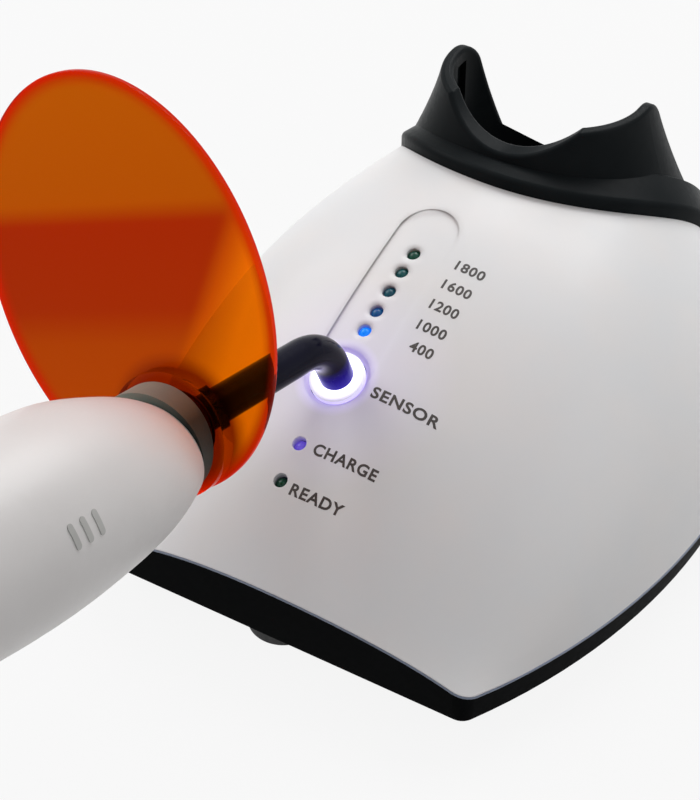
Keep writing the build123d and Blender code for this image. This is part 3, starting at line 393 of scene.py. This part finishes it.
top_tree = BVHTree.FromObject(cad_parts["base_top_shell"], bpy.context.evaluated_depsgraph_get())
ABOVE_ALL = 200.0 * MM
INK_LOW = 0.005 * MM
INK_HIGH = 0.045 * MM
LETTER_WEIGHT = 0.026
LETTER_SPACE = 1.12
SLOPE_STEP = 2.0
DIGIT_CAP = 2.4 * MM
WORD_CAP = 2.5 * MM
# Name, words, left and right end and baseline in millimetres, and height of the capitals
LABELS = (
    ("label_1800", "1800", 5.9, 12.7, 59.5, DIGIT_CAP),
    ("label_1600", "1600", 5.7, 12.4, 54.2, DIGIT_CAP),
    ("label_1200", "1200", 5.75, 12.35, 48.9, DIGIT_CAP),
    ("label_1000", "1000", 5.8, 12.45, 43.6, DIGIT_CAP),
    ("label_400", "400", 6.75, 12.15, 38.7, DIGIT_CAP),
    ("label_sensor", "SENSOR", 4.6, 20.5, 26.9, WORD_CAP),
    ("label_charge", "CHARGE", -0.7, 14.2, 12.7, WORD_CAP),
    ("label_ready", "READY", -1.25, 11.1, 4.45, WORD_CAP),
)


def surface_z(x, y):
    """Height of the top of the base at a place seen from above."""
    hit = top_tree.ray_cast(Vector((x, y, ABOVE_ALL)), Vector((0, 0, -1)))[0]
    return hit.z


def printed_label(name, words, left, right, baseline, cap):
    """Flat letters of the width given, laid on the curved top as a thin film of ink."""
    curve = bpy.data.curves.new(name + "_text", "FONT")
    curve.body = words
    curve.space_character = LETTER_SPACE
    curve.resolution_u = 6
    curve.offset = LETTER_WEIGHT
    holder = bpy.data.objects.new(name + "_text", curve)
    bpy.context.scene.collection.objects.link(holder)
    bpy.context.view_layer.update()
    flat = bpy.data.meshes.new_from_object(holder.evaluated_get(bpy.context.evaluated_depsgraph_get()))
    bpy.data.objects.remove(holder)
    xs = [v.co.x for v in flat.vertices]
    top = max(v.co.y for v in flat.vertices)
    width = max(xs) - min(xs)
    climb = surface_z(left * MM, (baseline + SLOPE_STEP) * MM) - surface_z(left * MM, baseline * MM)
    rise = cap * math.cos(math.atan(climb / (SLOPE_STEP * MM)))
    ring = []
    for v in flat.vertices:
        x = left * MM + (v.co.x - min(xs)) / width * (right - left) * MM
        y = baseline * MM + v.co.y / top * rise
        ring.append(Vector((x, y, surface_z(x, y))))
    flat.name = name
    faces = [list(p.vertices) for p in flat.polygons]
    count = len(ring)
    edge_uses = {}
    for face in faces:
        for a, b in zip(face, face[1:] + face[:1]):
            edge_uses[(a, b)] = edge_uses.get((a, b), 0) + 1
    rims = [e for e in edge_uses if (e[1], e[0]) not in edge_uses]
    lift_low = Vector((0, 0, INK_LOW))
    lift_high = Vector((0, 0, INK_HIGH))
    points = [p + lift_high for p in ring] + [p + lift_low for p in ring]
    solid_faces = faces + [[i + count for i in reversed(face)] for face in faces]
    solid_faces += [[b, a, a + count, b + count] for a, b in rims]
    mesh = bpy.data.meshes.new(name)
    mesh.from_pydata(points, [], solid_faces)
    mesh.validate()
    mesh.materials.append(ink)
    piece = bpy.data.objects.new(name, mesh)
    bpy.context.scene.collection.objects.link(piece)
    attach(piece, "base")
    return piece


for label in LABELS:
    printed_label(*label)


# Fine bluish-gray tube along the lower edge of the white top: painted shade on the edge's rounding, laid on
# as a thin piece
painted_edge_shade_grey = finish_of(
    "painted_edge_shade_grey", (0.20, 0.235, 0.32), (0.16, 0.19, 0.27), 0.4, 0.05, 5000.0, 0.01 * MM)[0]
BEAD_R = 0.26 * MM
BEAD_LOW = 12.0 * MM
BEAD_HIGH = 24.0 * MM
BEAD_STEP = 0.05 * MM
BEAD_PROUD = 0.05 * MM
OUTSIDE = 50.0 * MM
EDGE_MID_X = 6.0
EDGE_FRONT_Y = -10.2
EDGE_WIDEST_Y = 65.0
EDGE_HALF = 63.0
EDGE_FRONT_ARC = 149.0
EDGE_REAR_ARC = 85.0
EDGE_CORNER = 5.0
EDGE_END_Y = 109.0
EDGE_STEPS = 60
CORNER_STEPS = 9
CORNER_TURN = 10.0
SIDE_JUMP = 2.0 * MM
tray_tree = BVHTree.FromObject(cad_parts["base_bottom_shell"], bpy.context.evaluated_depsgraph_get())


def edge_half(y):
    """Half width of the base in millimetres at the distance y."""
    arc = EDGE_FRONT_ARC if y < EDGE_WIDEST_Y else EDGE_REAR_ARC
    return EDGE_HALF - arc + math.sqrt(arc**2 - (y - EDGE_WIDEST_Y)**2)


def edge_point(x, y, out_x, out_y):
    """Lowest place where the white top, not the tray, is met when coming in from outside."""
    outward = Vector((out_x, out_y, 0)).normalized()
    z = BEAD_LOW
    while z < BEAD_HIGH:
        start = Vector(((EDGE_MID_X + x) * MM, y * MM, z)) + outward * OUTSIDE
        white = top_tree.ray_cast(start, -outward)
        tray = tray_tree.ray_cast(start, -outward)
        if white[0] is not None and (tray[0] is None or white[3] < tray[3]):
            return white[0] + outward * BEAD_PROUD
        z += BEAD_STEP
    return Vector(((EDGE_MID_X + x) * MM, y * MM, BEAD_LOW))


def edge_line(side):
    """Half of the edge of the white top, from the middle of the front to the cradle.

    It ends where the white gives way to the cradle housing.
    """
    corner_y = EDGE_FRONT_Y + EDGE_CORNER
    corner_x = edge_half(corner_y) - EDGE_CORNER
    points = [edge_point(side * corner_x * step / EDGE_STEPS, EDGE_FRONT_Y, 0, -1)
              for step in range(EDGE_STEPS)]
    for step in range(CORNER_STEPS):
        turn = math.radians(CORNER_TURN * step)
        out_x, out_y = math.sin(turn), -math.cos(turn)
        points.append(edge_point(side * (corner_x + EDGE_CORNER * out_x), corner_y + EDGE_CORNER * out_y,
                                 side * out_x, out_y))
    for step in range(1, EDGE_STEPS + 1):
        y = corner_y + (EDGE_END_Y - corner_y) * step / EDGE_STEPS
        place = edge_point(side * edge_half(y), y, side, 0)
        if place.z > BEAD_LOW + SIDE_JUMP or abs(place.x - points[-1].x) > SIDE_JUMP:
            break
        points.append(place)
    return points


whole_edge = edge_line(-1)[:0:-1] + edge_line(1)
bead_curve = bpy.data.curves.new("painted_edge_shade_line", "CURVE")
bead_curve.dimensions = "3D"
bead_curve.bevel_depth = BEAD_R
bead_curve.bevel_resolution = 3
bead_curve.use_fill_caps = True
bead_line = bead_curve.splines.new("POLY")
bead_line.points.add(len(whole_edge) - 1)
for point, place in zip(bead_line.points, whole_edge):
    point.co = (*place, 1.0)
bead_holder = bpy.data.objects.new("painted_edge_shade_line", bead_curve)
bpy.context.scene.collection.objects.link(bead_holder)
bpy.context.view_layer.update()
bead_mesh = bpy.data.meshes.new_from_object(
    bead_holder.evaluated_get(bpy.context.evaluated_depsgraph_get()))
bpy.data.objects.remove(bead_holder)
bead_mesh.name = "painted_edge_shade"
bead_mesh.materials.clear()
bead_mesh.materials.append(painted_edge_shade_grey)
painted_edge_shade_piece = bpy.data.objects.new("painted_edge_shade", bead_mesh)
bpy.context.scene.collection.objects.link(painted_edge_shade_piece)
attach(painted_edge_shade_piece, "base")


# Floor and light

FLOOR_HALF = 4.0
FLOOR_DROP = 0.2 * MM
FLOOR_LIT = 0.7
SHADOW_SHARE = 0.06
BACKGROUND = 0.955
ROOM = (0.25, 0.25, 0.255)
LIGHT_SIZE = 0.9

def viewed_white(name, level, shadow_share):
    """Pale surface that a camera, gloss or glass sees as near white, with a share of its real light."""
    made = bpy.data.materials.new(name)
    made.use_nodes = True
    nodes, links = made.node_tree.nodes, made.node_tree.links
    nodes.remove(nodes["Principled BSDF"])
    lit = nodes.new("ShaderNodeBsdfDiffuse")
    lit.inputs["Color"].default_value = (FLOOR_LIT, FLOOR_LIT, FLOOR_LIT, 1.0)
    plain = nodes.new("ShaderNodeEmission")
    plain.inputs["Color"].default_value = (level, level, level, 1.0)
    path = nodes.new("ShaderNodeLightPath")
    seen = maths(nodes, links, "MAXIMUM", path.outputs["Is Glossy Ray"], path.outputs["Is Transmission Ray"])
    seen = maths(nodes, links, "MAXIMUM", path.outputs["Is Camera Ray"], seen)
    mix = nodes.new("ShaderNodeMixShader")
    links.new(maths(nodes, links, "MULTIPLY", seen, 1.0 - shadow_share), mix.inputs["Fac"])
    links.new(lit.outputs["BSDF"], mix.inputs[1])
    links.new(plain.outputs["Emission"], mix.inputs[2])
    links.new(mix.outputs["Shader"], nodes["Material Output"].inputs["Surface"])
    return made


floor_mesh = bpy.data.meshes.new("floor")
floor_mesh.from_pydata([(-FLOOR_HALF, -FLOOR_HALF, 0), (FLOOR_HALF, -FLOOR_HALF, 0),
                        (FLOOR_HALF, FLOOR_HALF, 0), (-FLOOR_HALF, FLOOR_HALF, 0)], [], [(0, 1, 2, 3)])
floor_mesh.materials.append(viewed_white("floor_white", BACKGROUND, SHADOW_SHARE))
floor = bpy.data.objects.new("floor", floor_mesh)
bpy.context.scene.collection.objects.link(floor)
floor.location.z = -FLOOR_DROP

world = bpy.data.worlds.new("studio")
bpy.context.scene.world = world
world.use_nodes = True
sky = world.node_tree
room = sky.nodes["Background"]
room.inputs["Color"].default_value = (*ROOM, 1.0)
behind = sky.nodes.new("ShaderNodeBackground")
behind.inputs["Color"].default_value = (BACKGROUND, BACKGROUND, BACKGROUND, 1.0)
path = sky.nodes.new("ShaderNodeLightPath")
seen = maths(sky.nodes, sky.links, "MAXIMUM", path.outputs["Is Glossy Ray"],
             path.outputs["Is Transmission Ray"])
seen = maths(sky.nodes, sky.links, "MAXIMUM", path.outputs["Is Camera Ray"], seen)
choice = sky.nodes.new("ShaderNodeMixShader")
sky.links.new(seen, choice.inputs["Fac"])
sky.links.new(room.outputs["Background"], choice.inputs[1])
sky.links.new(behind.outputs["Background"], choice.inputs[2])
sky.links.new(choice.outputs["Shader"], sky.nodes["World Output"].inputs["Surface"])


def soft_light(name, place, target, size, power):
    """A square soft box that points at a target."""
    data = bpy.data.lights.new(name, "AREA")
    data.shape = "SQUARE"
    data.size = size
    data.energy = power
    lamp = bpy.data.objects.new(name, data)
    bpy.context.scene.collection.objects.link(lamp)
    lamp.location = place
    lamp.rotation_euler = (Vector(target) - Vector(place)).to_track_quat("-Z", "Y").to_euler()
    return lamp


MIDDLE = (0.0, 0.04, 0.04)
soft_light("key_light", (-0.05, 1.0, 1.0), MIDDLE, LIGHT_SIZE, 15.5)
soft_light("right_light", (1.0, 0.2, 0.8), MIDDLE, LIGHT_SIZE, 2.6)
soft_light("left_light", (-0.95, 0.1, 0.8), MIDDLE, LIGHT_SIZE, 7.0)

camera_data = bpy.data.cameras.new("camera")
camera_data.sensor_fit = "HORIZONTAL"
camera_data.sensor_width = SENSOR_W
camera_data.lens = FOCAL_PIXELS / PICTURE_W * SENSOR_W
camera_data.clip_start = 0.01
camera_data.clip_end = 50.0
camera = bpy.data.objects.new("camera", camera_data)
bpy.context.scene.collection.objects.link(camera)
right = level_right * math.cos(roll) + level_up * math.sin(roll)
up = level_up * math.cos(roll) - level_right * math.sin(roll)
camera.matrix_world = Matrix.Translation(CAMERA_AT) @ Matrix((right, up, back)).transposed().to_4x4()
bpy.context.scene.camera = camera
bpy.context.scene.view_settings.view_transform = "Standard"
